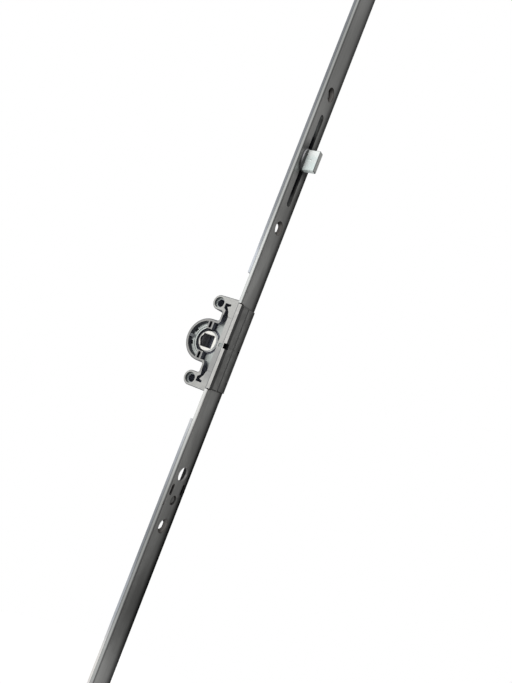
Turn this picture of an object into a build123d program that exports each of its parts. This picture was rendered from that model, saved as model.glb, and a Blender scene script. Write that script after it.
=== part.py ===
from build123d import *
import math
import os

# Window espagnolette gearbox: a slotted faceplate, a drive rod that slides
# behind it, and a die-cast gearbox whose square-bored follower drives the rod.
# Millimetres. X points out of the front, Z runs up the rail, and -Y is the
# side on which the gearbox shows its open casting. The origin is on the
# spindle axis, in the plane where the two casing halves meet.

# Rail
rail_width = 16.0
backset = 15.0                 # spindle axis to the front of the gearbox cover
cover_rise = 0.9               # cover front above the faceplate front
faceplate_thick = 2.0
faceplate_top = 255.0
faceplate_bottom = -225.0
faceplate_edge_chamfer = 0.2
rod_thick = 1.4
rod_gap = 0.1                  # running gap on either face of the rod
side_gap = 0.15                # running gap beside the rod and the rack

# Holes of the faceplate, by their height on the rail
screw_head_diameter = 8.0
screw_hole_diameter = 4.6
screw_end_inset = 8.0
screw_upper = 151.0
screw_middle = 70.4
screw_lower = -98.0
fixing_hole_diameter = 8.0
fixing_hole_level = -70.0
edge_mark_level = -86.0
edge_mark_radius = 0.6
cam_slot_width = 4.2
cam_slot_length = 55.0
cam_level = 111.0

# Gearing
tooth_module = 1.1
follower_teeth = 16
rack_teeth = 12
pressure_angle = 20.0
tooth_height = 0.9             # above the pitch line
tooth_depth = 1.15             # below the pitch line
tooth_play = 0.1               # taken off the thickness of each tooth
gear_width = 3.0
gear_side_gap = 0.1
quarter_turn_teeth = 4         # a quarter turn of the handle passes these

# Follower
hub_radius = 6.3
hub_shoulder = 2.6             # the hub's cone starts at this distance from the middle
hub_face = 3.6                 # hub face from the middle plane
hub_face_radius = 5.4
spindle_square = 7.0
spindle_lead_in = 0.2
key_notch = ((-3.4, 3.4), (-3.95, 2.3), (-4.7, 1.3), (-4.8, -0.1), (-3.95, -2.0), (-3.4, -3.4))
key_notch_depth = 1.2          # beside the square, in the near face

# Casing
casing_half_width = 6.25
casing_radius = 11.85
rim_width = 1.45               # round the follower
casing_wall = 1.2              # round the neck
cavity_gap = 0.4               # around the follower's tooth tips
bearing_gap = 0.06
bearing_depth = 0.6
bearing_relief = 0.9
blind_wall = 1.6               # closes the far half over the hub
neck_x = 3.8
inner_corner_radius = 1.0
outer_edge_chamfer = 0.35
boss_pitch = 43.0
boss_radius = 4.1
boss_screw_diameter = 4.2      # core of an M5 thread
boss_counterbore_diameter = 6.0
boss_counterbore_depth = 2.0
collar_level = 3.3
collar_draft = 0.5             # the rim's inner wall leans back by this much
collar_step_radius = 8.3
web_level = 2.9                # the web beside the bore, and the collar inside its step
pocket_floor = 2.2
collar_pocket_inner = 9.1      # two small pockets at the foot of the rim
collar_pocket_arcs = ((151, 163), (193, 206))
gusset_top = 1.1
gusset_bottom = -0.6
gusset_reach = 2.0
collar_end_x = -1.9            # the sunk collar ends here, and the first rib begins
slot_rear_x = -0.95
slot_front_x = 0.5
web_start_x = 1.6              # the second rib ends here, and the web begins
slot_foot_width = 0.7          # deeper strip along the second rib's foot
slot_bottom = 6.8
strip_x = 8.3                  # the raised strip beside the cover begins here
side_pocket_start = 11.8
web_corner = (5.8, 13.0)       # the web's end slants from here to the strip
web_top = 15.8
web_fillet = 0.7
side_pocket_bend = 18.3        # the side pocket turns towards the boss here
side_pocket_top = 22.1
side_pocket_reach = 3.8
rim_x = 11.0
rim_groove_level = 15.0
rim_groove_width = 0.35
rim_groove_depth = 0.25
rim_spot_x = 10.1
rim_spot_level = -0.2
rim_spot_radius = 1.1
rim_spot_depth = 0.25

# Cover, the casing's flange over the faceplate
cover_length = 47.0
cover_back_reach = 1.5         # side walls behind the faceplate front
cover_bevel = 0.4
cover_bevel_width = 1.6
cover_end_chamfer = 0.4
seam_chamfer = 0.25
faceplate_waist = 10.0
waist_gap = 0.1
waist_end_gaps = (0.6, 0.03)   # at the ends of the waist, near side and far side
side_notch_length = 2.8
side_notch_width = 2.4
side_notch_depth = 1.8
level_line_width = 0.3
level_line_depth = 0.15
seam_notch_length = 0.7
seam_notch_width = 0.9
seam_notch_depth = 0.5

# Casing rivets
casing_rivet_x = 6.4
casing_rivet_level = 16.4
casing_rivet_diameter = 2.0
casing_rivet_end = 0.4         # stands out of the pocket's floor

# Drive rod
rod_waist = 8.0
rod_shoulder = 41.0
rod_end_gap = 1.9              # rod end to an end screw at full travel
rod_window_width = 9.2
screw_clearance = 0.5
rod_end_chamfer = 2.0

# Rack bar
rack_tab_length = 4.6
rack_tab_thick = 1.3
rack_rivet_diameter = 1.6
rack_rivet_head_diameter = 2.8
rack_rivet_head_height = 0.5

# Cam
cam_head_length = 12.0
cam_head_thick = 3.6
cam_head_height = 7.0
cam_head_edge = 0.35
cam_stem_diameter = 3.8
cam_washer_length = 13.0
cam_washer_width = 9.6
cam_washer_thick = 0.9
carrier_length = 35.0
carrier_fit = 0.05
carrier_drop = 2.1             # carrier centre below the cam's centre
carrier_recess = 0.3
carrier_flange_thick = 1.0
carrier_flange_reach = 5.2
carrier_flange_width = 12.4
carrier_rivet_inset = 2.3
carrier_rivet_diameter = 1.6
carrier_rivet_head_diameter = 2.8
carrier_rivet_head_height = 0.5

# Rod guide, a headed stud that holds the rod to the faceplate
side_slot_level = -78.3        # the two short slots beside the guide
side_slot_length = 6.0
near_slot_y = -5.0
near_slot_width = 2.2
far_slot_y = 4.8
far_slot_width = 1.7
guide_plate_thick = 0.8
guide_plate_width = 12.4
guide_plate_length = 14.0
guide_spigot_level = -84.1
guide_spigot_diameter = 5.0
guide_spigot_hole = 5.2
guide_spigot_set_back = 0.7
guide_spigot_chamfer = 0.6

# Planes along X, worked out from the sizes above
front_x = backset - cover_rise
faceplate_back_x = front_x - faceplate_thick
rod_front_x = faceplate_back_x - rod_gap
rod_back_x = rod_front_x - rod_thick
pitch_radius = tooth_module * follower_teeth / 2
pitch = math.pi * tooth_module
tip_radius = pitch_radius + tooth_height
cavity_radius = tip_radius + cavity_gap
rod_travel = quarter_turn_teeth * pitch
rack_half_length = rack_teeth * pitch / 2
cover_back_x = front_x - cover_back_reach
casing_end = boss_pitch / 2 + boss_radius
ring_outer = casing_radius - rim_width
gear_cavity_half = gear_width / 2 + gear_side_gap
end_screw_levels = (faceplate_top - screw_end_inset, faceplate_bottom + screw_end_inset)
screw_levels = (screw_upper, screw_middle, screw_lower) + end_screw_levels
os.makedirs("parts", exist_ok=True)


def across(sketch, start, end):
    """Extrude an X-Z sketch towards -Y, between two distances from the middle."""
    return extrude(Plane.XZ.offset(start) * sketch, amount=end - start)


def outward(sketch, start, end):
    """Extrude a Y-Z sketch along +X, between two values of X."""
    return extrude(Plane.YZ.offset(start) * sketch, amount=end - start)


def block(x0, x1, y0, y1, z0, z1):
    """A box between two corners."""
    return Pos((x0 + x1) / 2, (y0 + y1) / 2, (z0 + z1) / 2) * Box(x1 - x0, y1 - y0, z1 - z0)


def spread(x0, x1, z0, z1):
    """A rectangle in an X-Z sketch, between two corners."""
    return Pos((x0 + x1) / 2, (z0 + z1) / 2) * Rectangle(x1 - x0, z1 - z0)


def upright_slot(length, width):
    """An obround along Z in a Y-Z sketch."""
    return Rot(0, 0, 90) * SlotOverall(length, width)


def strip(top, bottom, width, end_round):
    """A strip along Z in a Y-Z sketch, with rounded corners at its ends."""
    length = top - bottom
    return Pos(0, (top + bottom) / 2) * RectangleRounded(width, length, end_round)


def lengthwise_edges(part):
    """The straight edges that run along Z."""
    return part.edges().filter_by(Axis.Z)


# Faceplate

def countersunk_hole(level):
    """The cutter for one countersunk screw hole, from the faceplate's front."""
    reach = (screw_head_diameter - screw_hole_diameter) / 2
    cone = Cone(screw_hole_diameter / 2, screw_head_diameter / 2, reach)
    shank = Cylinder(screw_hole_diameter / 2, 2 * faceplate_thick)
    cutter = Pos(0, 0, -reach / 2) * cone + Pos(0, 0, -reach) * shank
    return Pos(front_x, 0, level) * Rot(0, 90, 0) * cutter


def make_faceplate():
    outline = strip(faceplate_top, faceplate_bottom, rail_width, rail_width / 2 - 0.01)
    plate = outward(outline, faceplate_back_x, front_x)
    front_edges = plate.edges().filter_by_position(Axis.X, front_x - 0.01, front_x + 0.01)
    plate = chamfer(front_edges, faceplate_edge_chamfer)
    for side, end_gap in zip((-1, 1), waist_end_gaps):
        bite = Rectangle(rail_width - faceplate_waist, cover_length + 2 * end_gap)
        plate -= outward(Pos(side * rail_width / 2, 0) * bite, faceplate_back_x - 1, front_x + 1)
    for level in screw_levels:
        plate -= countersunk_hole(level)
    openings = Pos(0, cam_level) * upright_slot(cam_slot_length, cam_slot_width)
    openings += Pos(0, fixing_hole_level) * Circle(fixing_hole_diameter / 2)
    openings += Pos(0, guide_spigot_level) * Circle(guide_spigot_hole / 2)
    openings += Pos(near_slot_y, side_slot_level) * upright_slot(side_slot_length, near_slot_width)
    openings += Pos(far_slot_y, side_slot_level) * upright_slot(side_slot_length, far_slot_width)
    plate -= outward(openings, faceplate_back_x - 1, front_x + 1)
    mark = Cylinder(edge_mark_radius, 2 * edge_mark_radius)
    plate -= Pos(front_x, -rail_width / 2, edge_mark_level) * mark
    return plate


# Drive rod and rack

def screw_window(level):
    """The rod's window round a screw, long enough for the whole travel."""
    length = 2 * (rod_travel + screw_hole_diameter / 2 + screw_clearance)
    return Pos(0, level) * Rectangle(rod_window_width, length)


def guide_window():
    """The long window round the rod guide, the fixing hole and the lower screw."""
    top = fixing_hole_level + fixing_hole_diameter / 2 + rod_travel
    bottom = screw_lower - screw_hole_diameter / 2 - screw_clearance - rod_travel
    return Pos(0, (top + bottom) / 2) * Rectangle(rod_window_width, top - bottom)


def make_drive_rod():
    upper_end = end_screw_levels[0] - screw_hole_diameter / 2 - rod_travel - rod_end_gap
    lower_end = end_screw_levels[1] + screw_hole_diameter / 2 + rod_travel + rod_end_gap
    outline = Pos(0, (upper_end + lower_end) / 2) * Rectangle(rail_width, upper_end - lower_end)
    outline = chamfer(outline.vertices(), rod_end_chamfer)
    for side in (-1, 1):
        bite = Rectangle(rail_width - rod_waist, 2 * rod_shoulder)
        outline -= Pos(side * rail_width / 2, 0) * bite
    outline -= Rectangle(gear_width, 2 * rack_half_length)
    outline -= guide_window()
    outline -= screw_window(screw_middle)
    outline -= Pos(0, cam_level - carrier_drop) * Rectangle(rod_window_width, carrier_length)
    rod = outward(outline, rod_back_x, rod_front_x)
    for side in (-1, 1):
        rod -= cross_pin(rack_rivet_diameter, rod_back_x - 1, rod_front_x + 1, side * rack_rivet_level)
    for level in carrier_rivet_levels:
        rod -= cross_pin(carrier_rivet_diameter, rod_back_x - 1, rod_front_x + 1, level)
    return rod


def cross_pin(diameter, x0, x1, level):
    """A round pin along X, centred across the rail."""
    return outward(Pos(0, level) * Circle(diameter / 2), x0, x1)


rack_rivet_level = rack_half_length + rack_tab_length / 2
carrier_top = cam_level - carrier_drop + carrier_length / 2
carrier_bottom = cam_level - carrier_drop - carrier_length / 2
carrier_rivet_levels = (carrier_top + carrier_rivet_inset, carrier_bottom - carrier_rivet_inset)


def rack_tooth():
    """One rack tooth in an X-Z sketch, centred on Z = 0, pointing to -X."""
    slope = math.tan(math.radians(pressure_angle))
    half_at_pitch = pitch / 4 - tooth_play / 2
    tip_x = pitch_radius - tooth_height
    root_x = pitch_radius + tooth_depth
    half_tip = half_at_pitch - tooth_height * slope
    half_root = half_at_pitch + tooth_depth * slope
    return make_face(Polyline(
        (tip_x, -half_tip),
        (root_x, -half_root),
        (root_x + tooth_depth / 4, -half_root),
        (root_x + tooth_depth / 4, half_root),
        (root_x, half_root),
        (tip_x, half_tip),
        close=True))


def make_rack_bar():
    profile = spread(pitch_radius + tooth_depth, rod_front_x, -rack_half_length, rack_half_length)
    for number in range(rack_teeth):
        level = (number - (rack_teeth - 1) / 2) * pitch
        profile += Pos(0, level) * rack_tooth()
    tab_end = rack_half_length + rack_tab_length
    tab_back_x = rod_back_x - rack_tab_thick
    profile += spread(tab_back_x, rod_back_x, rack_half_length, tab_end)
    profile += spread(tab_back_x, rod_back_x, -tab_end, -rack_half_length)
    bar = across(profile, -gear_width / 2, gear_width / 2)
    for side in (-1, 1):
        bar -= cross_pin(rack_rivet_diameter, 0, rod_front_x, side * rack_rivet_level)
    return bar


def make_rack_rivets():
    tab_back_x = rod_back_x - rack_tab_thick
    rivets = []
    for side in (-1, 1):
        level = side * rack_rivet_level
        shank = cross_pin(rack_rivet_diameter, tab_back_x, rod_front_x, level)
        head = cross_pin(rack_rivet_head_diameter, tab_back_x - rack_rivet_head_height, tab_back_x, level)
        rivets.append(shank + head)
    return rivets


# Follower

def involute_point(base_radius, roll):
    """A point on the involute of a circle, as radius and angle."""
    return base_radius * math.hypot(1, roll), roll - math.atan(roll)


def follower_tooth():
    """One involute tooth in an X-Z sketch, pointing along +X."""
    alpha = math.radians(pressure_angle)
    base_radius = pitch_radius * math.cos(alpha)
    root_radius = pitch_radius - tooth_depth
    half_angle = (pitch / 2 - tooth_play) / (2 * pitch_radius) + math.tan(alpha) - alpha
    top_roll = math.sqrt((tip_radius / base_radius) ** 2 - 1)
    steps = 3
    flank = [(root_radius * 0.97, half_angle)]
    for step in range(steps + 1):
        radius, angle = involute_point(base_radius, top_roll * step / steps)
        flank.append((radius, half_angle - angle))
    upper = [(r * math.cos(a), r * math.sin(a)) for r, a in flank]
    lower = [(x, -z) for x, z in reversed(upper)]
    return make_face(Polyline(*upper, *lower, close=True))


def make_spindle_follower():
    root_radius = pitch_radius - tooth_depth
    wheel = Circle(root_radius)
    for number in range(follower_teeth):
        wheel += Rot(0, 0, 360 * number / follower_teeth) * follower_tooth()
    body = across(wheel, -gear_width / 2, gear_width / 2)
    body += across(Circle(hub_radius), -hub_shoulder, hub_shoulder)
    cone = turned(hub_radius, hub_face_radius, hub_shoulder, hub_face)
    body += cone + mirror(cone, about=Plane.XZ)
    body -= across(Rectangle(spindle_square, spindle_square), -hub_face, hub_face)
    narrow = Plane.XZ.offset(hub_face - spindle_lead_in) * Rectangle(spindle_square, spindle_square)
    lead_in = extrude(narrow, amount=spindle_lead_in, taper=-45)
    body -= lead_in
    body -= mirror(lead_in, about=Plane.XZ)
    notch = make_face(Polyline(*key_notch, close=True))
    return body - across(notch, hub_face - key_notch_depth, hub_face + 1)


# Casing

def casing_outline():
    """The outline of a casing half in an X-Z sketch, up to the faceplate's back."""
    outline = Circle(casing_radius)
    outline += spread(0, faceplate_back_x, -casing_radius, casing_radius)
    outline += spread(neck_x, faceplate_back_x, -casing_end, casing_end)
    for side in (-1, 1):
        outline += Pos(0, side * boss_pitch / 2) * Circle(boss_radius)
        low = side * boss_pitch / 2 - boss_radius
        outline += spread(0, faceplate_back_x, low, low + 2 * boss_radius)
    corners = [v for v in outline.vertices() if abs(v.X - neck_x) < 0.01 and abs(v.Y) < boss_pitch / 2]
    return fillet(corners, inner_corner_radius)


def turned(start_radius, end_radius, start, end):
    """A cone about the spindle axis, between two distances from the middle."""
    cone = Cone(start_radius, end_radius, end - start)
    return Pos(0, -(start + end) / 2, 0) * Rot(90, 0, 0) * cone


def ring_sector(inner, outer, start, end):
    """A sector of a ring in an X-Z sketch, between two angles in degrees."""
    ring = Circle(outer) - Circle(inner)
    a = math.radians(start)
    b = math.radians(end)
    middle = (a + b) / 2
    far = 2 * outer
    wedge = make_face(Polyline(
        (0, 0),
        (far * math.cos(a), far * math.sin(a)),
        (far * math.cos(middle), far * math.sin(middle)),
        (far * math.cos(b), far * math.sin(b)),
        close=True))
    return ring & wedge


def side_pocket():
    """The winding pocket between the neck and the rack channel, above the spindle."""
    return make_face(Polyline(
        (neck_x + casing_wall, side_pocket_start),
        (neck_x + casing_wall + 0.4, side_pocket_bend),
        (neck_x + 0.1, side_pocket_bend + 1.1),
        (neck_x + 0.1, side_pocket_top),
        (neck_x + side_pocket_reach, side_pocket_top),
        (neck_x + side_pocket_reach, side_pocket_top - 1.1),
        (neck_x + side_pocket_reach / 2, side_pocket_top - 1.7),
        (neck_x + side_pocket_reach - 0.2, side_pocket_bend - 0.3),
        (strip_x - 0.3, web_top),
        web_corner,
        close=True))


def deep_pockets():
    """The pockets of both casing halves, all down to the same floor."""
    upper = spread(slot_rear_x, slot_front_x, slot_bottom, ring_outer)
    upper += spread(web_start_x, web_start_x + slot_foot_width, hub_radius, ring_outer)
    upper += side_pocket()
    return upper + mirror(upper, about=Plane.XZ)


def web_recess():
    """The sunk web between the bore, the neck and the raised strip."""
    upper = make_face(Polyline(
        (web_start_x, 0),
        (web_start_x, ring_outer),
        (neck_x, ring_outer),
        (neck_x + web_fillet, ring_outer + web_fillet / 2),
        (neck_x + casing_wall, side_pocket_start),
        (neck_x + casing_wall, web_top),
        (strip_x, web_top),
        (strip_x, 0),
        close=True))
    return upper + mirror(upper, about=Plane.XZ)


def collar_recess():
    """The sunk half ring behind the bore, with its step, pockets and gusset."""
    outside = casing_half_width + 1
    slope = collar_draft / (casing_half_width - collar_level)
    recess = turned(ring_outer - collar_draft, ring_outer + slope, collar_level, outside)
    recess += across(Circle(collar_step_radius), web_level, outside)
    recess = recess & block(-casing_radius, collar_end_x, -outside, 0, -casing_radius, casing_radius)
    pockets = Sketch()
    for arc in collar_pocket_arcs:
        pockets += ring_sector(collar_pocket_inner, ring_outer - collar_draft, *arc)
    recess += across(pockets, pocket_floor, outside)
    foot_x = gusset_reach - ring_outer
    gusset = make_face(Polyline(
        (-casing_radius, -collar_level),
        (-casing_radius, -outside),
        (-ring_outer, -outside),
        (-ring_outer, -casing_half_width),
        (foot_x, -collar_level),
        close=True))
    return recess - Pos(0, 0, gusset_bottom) * extrude(gusset, amount=gusset_top - gusset_bottom)


def rim_marks():
    """The round spot and the two fine grooves on the flat beside the cover."""
    outside = casing_half_width + 1
    marks = across(Pos(rim_spot_x, rim_spot_level) * Circle(rim_spot_radius),
                   casing_half_width - rim_spot_depth, outside)
    for side in (-1, 1):
        level = side * rim_groove_level
        groove = spread(strip_x, rim_x, level - rim_groove_width / 2, level + rim_groove_width / 2)
        marks += across(groove, casing_half_width - rim_groove_depth, outside)
    return marks


def casing_half():
    """What both casing halves have, drawn on the -Y side."""
    half = across(casing_outline(), 0, casing_half_width)
    rim = half.faces().sort_by(Axis.Y)[0].outer_wire().edges()
    rim = [e for e in rim if e.center().X < faceplate_back_x - 0.1]
    half = chamfer(rim, outer_edge_chamfer)
    cover = block(cover_back_x, backset, -rail_width / 2, 0, -cover_length / 2, cover_length / 2)
    corner = lengthwise_edges(cover).sort_by(Axis.Y)[:2].sort_by(Axis.X)[-1]
    bevelled = cover.faces().sort_by(Axis.X)[-1]
    cover = chamfer(corner, cover_bevel_width, cover_bevel, reference=bevelled)
    ends = [e for e in cover.faces().sort_by(Axis.X)[-1].edges()
            if abs(abs(e.center().Z) - cover_length / 2) < 0.01]
    cover = chamfer(ends, cover_end_chamfer)
    half += cover
    half += block(faceplate_back_x - 1, cover_back_x + 0.1, -casing_half_width, 0,
                  -cover_length / 2, cover_length / 2)
    waist_half = faceplate_waist / 2 + waist_gap
    longest = 2 * casing_end
    half -= block(faceplate_back_x, front_x, -waist_half, 1, -longest, longest)
    half -= block(rod_back_x - rod_gap, faceplate_back_x + 0.01, -rod_waist / 2 - side_gap, 1,
                  -longest, longest)
    rack_tip_x = pitch_radius - tooth_height
    half -= block(rack_tip_x - cavity_gap, rod_back_x, -gear_width / 2 - side_gap, 1, -longest, longest)
    half -= across(Circle(cavity_radius), -1, gear_cavity_half)
    half -= across(Circle(hub_radius + bearing_gap), 0, casing_half_width - blind_wall)
    half -= across(deep_pockets(), pocket_floor, casing_half_width + 1)
    for side in (-1, 1):
        level = side * boss_pitch / 2
        half -= across(Pos(0, level) * Circle(boss_screw_diameter / 2), -1, casing_half_width + 1)
        half -= across(Pos(casing_rivet_x, side * casing_rivet_level) * Circle(casing_rivet_diameter / 2),
                       -1, casing_half_width)
    seam = lengthwise_edges(half).filter_by_position(Axis.X, backset - 0.01, backset + 0.01)
    seam = seam.filter_by_position(Axis.Y, -0.01, 0.01)
    half = chamfer(seam, seam_chamfer)
    half -= block(backset - level_line_depth, backset + 1, -rail_width / 2, 1,
                  -level_line_width / 2, level_line_width / 2)
    for side in (-1, 1):
        inner = side * (cover_length / 2 - seam_notch_length)
        half -= block(backset - seam_notch_depth, backset + 1, -seam_notch_width / 2, 1,
                      min(inner, side * casing_end), max(inner, side * casing_end))
    return half


def make_housing_near(half):
    """The half that the handle sits on: open bore, sunk collar and web, counterbores."""
    outside = casing_half_width + 1
    half -= across(Circle(hub_radius + bearing_gap), 0, outside)
    relief = Circle(hub_radius + bearing_relief)
    relief -= spread(collar_end_x, web_start_x, -casing_radius, casing_radius)
    half -= across(relief, gear_cavity_half + bearing_depth, outside)
    half -= collar_recess()
    half -= across(web_recess(), web_level, outside)
    half -= rim_marks()
    for side in (-1, 1):
        counterbore = Pos(0, side * boss_pitch / 2) * Circle(boss_counterbore_diameter / 2)
        half -= across(counterbore, casing_half_width - boss_counterbore_depth, outside)
    notch = block(backset - side_notch_depth, backset + 1, -rail_width / 2 - 1,
                  -rail_width / 2 + side_notch_width, -side_notch_length / 2, side_notch_length / 2)
    return half - notch


def make_housing_far(half):
    """The half away from the handle, which stays closed over the hub."""
    return mirror(half, about=Plane.XZ)


def make_housing_rivets():
    reach = pocket_floor + casing_rivet_end
    rivets = []
    for side in (-1, 1):
        place = Pos(casing_rivet_x, side * casing_rivet_level)
        rivets.append(across(place * Circle(casing_rivet_diameter / 2), -reach, reach))
    return rivets


# Cam

cam_washer_back_x = front_x + rod_gap
cam_head_back_x = cam_washer_back_x + cam_washer_thick
carrier_front_x = rod_front_x - carrier_recess
carrier_back_x = rod_back_x - carrier_flange_thick


def make_cam_head():
    tip_x = cam_head_back_x + cam_head_height
    head = block(cam_head_back_x, tip_x, -cam_head_thick / 2, cam_head_thick / 2,
                 -cam_head_length / 2, cam_head_length / 2)
    edges = head.edges().filter_by_position(Axis.X, cam_head_back_x + 0.01, tip_x + 0.01)
    head = chamfer(edges, cam_head_edge)
    head += cross_pin(cam_stem_diameter, carrier_back_x, cam_head_back_x + cam_head_height / 2, 0)
    return Pos(0, 0, cam_level) * head


def make_cam_washer():
    outline = upright_slot(cam_washer_length, cam_washer_width) - Circle(cam_stem_diameter / 2)
    washer = outward(outline, cam_washer_back_x, cam_head_back_x)
    return Pos(0, 0, cam_level) * washer


def make_cam_carrier():
    middle = cam_level - carrier_drop
    insert = Rectangle(rod_window_width - 2 * carrier_fit, carrier_length - 2 * carrier_fit)
    carrier = outward(Pos(0, middle) * insert, rod_back_x, carrier_front_x)
    flange = Rectangle(carrier_flange_width, carrier_length + 2 * carrier_flange_reach)
    carrier += outward(Pos(0, middle) * flange, carrier_back_x, rod_back_x)
    carrier -= cross_pin(cam_stem_diameter, carrier_back_x - 1, front_x, cam_level)
    for level in carrier_rivet_levels:
        carrier -= cross_pin(carrier_rivet_diameter, carrier_back_x - 1, rod_back_x + 1, level)
    return carrier


def make_carrier_rivets():
    rivets = []
    for level in carrier_rivet_levels:
        rivet = cross_pin(carrier_rivet_diameter, carrier_back_x, rod_front_x, level)
        head_x = carrier_back_x - carrier_rivet_head_height
        rivet += cross_pin(carrier_rivet_head_diameter, head_x, carrier_back_x, level)
        rivets.append(rivet)
    return rivets


# Rod guide

def make_rod_guide():
    plate_front_x = rod_back_x - rod_gap
    plate_back_x = plate_front_x - guide_plate_thick
    spigot_end_x = front_x - guide_spigot_set_back
    spigot = cross_pin(guide_spigot_diameter, plate_back_x, spigot_end_x, guide_spigot_level)
    spigot = chamfer(spigot.edges().sort_by(Axis.X)[-1], guide_spigot_chamfer)
    plate = block(plate_back_x, plate_front_x, -guide_plate_width / 2, guide_plate_width / 2,
                  guide_spigot_level - guide_plate_length / 2, guide_spigot_level + guide_plate_length / 2)
    return plate + spigot


def save(name, shape):
    """Write one node, a single solid or a list of separate ones."""
    if isinstance(shape, list):
        shape = Compound(children=shape)
    export_step(shape, f"parts/{name}.step")


shell = casing_half()
save("faceplate", make_faceplate())
save("drive_rod", make_drive_rod())
save("rack_bar", make_rack_bar())
save("rack_rivets", make_rack_rivets())
save("spindle_follower", make_spindle_follower())
save("housing_near", make_housing_near(shell))
save("housing_far", make_housing_far(shell))
save("housing_rivets", make_housing_rivets())
save("cam_head", make_cam_head())
save("cam_washer", make_cam_washer())
save("cam_carrier", make_cam_carrier())
save("carrier_rivets", make_carrier_rivets())
save("rod_guide", make_rod_guide())
print(f"rod travel {rod_travel:.3f} mm each way for a quarter turn")
print(f"rod travel per radian {pitch_radius:.3f} mm")
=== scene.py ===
# %% [markdown]
# # Window espagnolette gearbox
# This gearbox sits in the edge of a window sash. The handle turns its follower,
# and the follower slides a long rod with a locking cam behind a slotted faceplate.
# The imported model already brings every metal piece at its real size, so this
# lesson models nothing new. It adds what makes the pieces look real: a camera,
# light and finishes.

# %% Load the frame
import math
import bpy
from mathutils import Matrix, Vector


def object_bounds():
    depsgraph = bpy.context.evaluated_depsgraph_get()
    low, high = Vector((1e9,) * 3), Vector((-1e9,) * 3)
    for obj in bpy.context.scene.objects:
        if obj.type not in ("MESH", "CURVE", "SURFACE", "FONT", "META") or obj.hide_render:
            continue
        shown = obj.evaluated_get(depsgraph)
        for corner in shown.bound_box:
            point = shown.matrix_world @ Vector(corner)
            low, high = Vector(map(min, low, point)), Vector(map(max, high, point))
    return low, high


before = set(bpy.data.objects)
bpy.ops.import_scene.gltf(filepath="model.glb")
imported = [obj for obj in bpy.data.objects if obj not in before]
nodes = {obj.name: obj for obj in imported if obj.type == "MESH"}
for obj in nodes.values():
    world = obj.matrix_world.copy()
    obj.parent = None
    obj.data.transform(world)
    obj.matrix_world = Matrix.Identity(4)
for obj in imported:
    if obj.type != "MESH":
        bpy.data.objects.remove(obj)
cad_low, cad_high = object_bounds()
MM = 0.001
print("nodes", len(nodes), "box in mm", [round(v / MM, 1) for v in (*cad_low, *cad_high)])

# %% [markdown]
# ## Camera
# The photograph was taken from close by with the rail leaning over, so the rail
# shrinks towards the top. A camera can be aimed by eye, but a close view comes out
# right only with the real distance, focal length and roll. All three were found by
# fitting the rail's long edges and the two screw bosses.

# %% The camera's turn
view_azimuth = 28.78
view_elevation = -5.12
view_roll = 21.13


def camera_turn(azimuth, elevation, roll):
    """The camera's axes as a rotation, from three angles in degrees."""
    a, e, r = (math.radians(v) for v in (azimuth, elevation, roll))
    back = Vector((math.sin(a) * math.cos(e), -math.cos(a) * math.cos(e), math.sin(e)))
    right = Vector((0, 0, 1)).cross(back).normalized()
    up = back.cross(right)
    leaning_right = right * math.cos(r) + up * math.sin(r)
    leaning_up = up * math.cos(r) - right * math.sin(r)
    return Matrix((leaning_right, leaning_up, back)).transposed().to_4x4()


turn = camera_turn(view_azimuth, view_elevation, view_roll)
print("the camera looks along", [round(-v, 3) for v in turn.col[2][:3]])

# %% The camera
camera_place = Vector((0.18525, -0.28993, -0.02142))
focal_length_px = 635.0
picture_height_px = 683.0
film_height_mm = 36.0
nearest_seen = 10 * MM

camera_data = bpy.data.cameras.new("camera")
camera_data.sensor_fit = "VERTICAL"
camera_data.sensor_height = film_height_mm
camera_data.lens = focal_length_px / picture_height_px * film_height_mm
camera_data.clip_start = nearest_seen
camera = bpy.data.objects.new("camera", camera_data)
camera.matrix_world = Matrix.Translation(camera_place) @ turn
bpy.context.scene.collection.objects.link(camera)
bpy.context.scene.camera = camera
bpy.context.scene.view_settings.view_transform = "Standard"
print("lens in mm", round(camera_data.lens, 2))

# %% [markdown]
# ## Node helpers
# Every shader here is a small tree of nodes. In the node editor each sum is a Math
# node with its wires, and a finish of eighty sums can't be read any more. These
# helpers add a node, wire it and return its output, so that a finish reads as a
# recipe. A fade is written as four numbers: where it starts, where it ends, and
# its value at each.

# %% Nodes and wires
def add_node(tree, kind, **settings):
    """Add a node and set its properties."""
    node = tree.nodes.new(kind)
    for name, value in settings.items():
        setattr(node, name, value)
    return node


def feed(tree, socket, value):
    """Set an input to a number or a colour, or link a socket to it."""
    if isinstance(value, bpy.types.NodeSocket):
        tree.links.new(value, socket)
    elif isinstance(value, tuple) and len(value) == 3 and socket.type == "RGBA":
        socket.default_value = (*value, 1)
    else:
        socket.default_value = value


print("ready:", add_node.__name__, feed.__name__)

# %% Sums
def maths(tree, operation, *values):
    """A Math node between sockets or numbers; returns its output."""
    node = add_node(tree, "ShaderNodeMath", operation=operation)
    for socket, value in zip(node.inputs, values):
        feed(tree, socket, value)
    return node.outputs[0]


def times(tree, first, *others):
    """The product of two or more sockets or numbers."""
    product = first
    for other in others:
        product = maths(tree, "MULTIPLY", product, other)
    return product


def larger(tree, first, second):
    """The larger of two sockets or numbers."""
    return maths(tree, "MAXIMUM", first, second)


def away_from(tree, value, middle):
    """How far a value lies from a middle, on either side."""
    return maths(tree, "ABSOLUTE", maths(tree, "SUBTRACT", value, middle))


def radius_of(tree, across, along):
    """How far a point lies from an axis, from its two distances beside it."""
    squares = maths(tree, "ADD", maths(tree, "POWER", across, 2.0), maths(tree, "POWER", along, 2.0))
    return maths(tree, "SQRT", squares)


print("ready:", maths.__name__, times.__name__, larger.__name__, away_from.__name__, radius_of.__name__)

# %% Fades and mixes
band_core = 0.4
first_colour_input = 6
second_colour_input = 7
mixed_colour_output = 2


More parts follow.
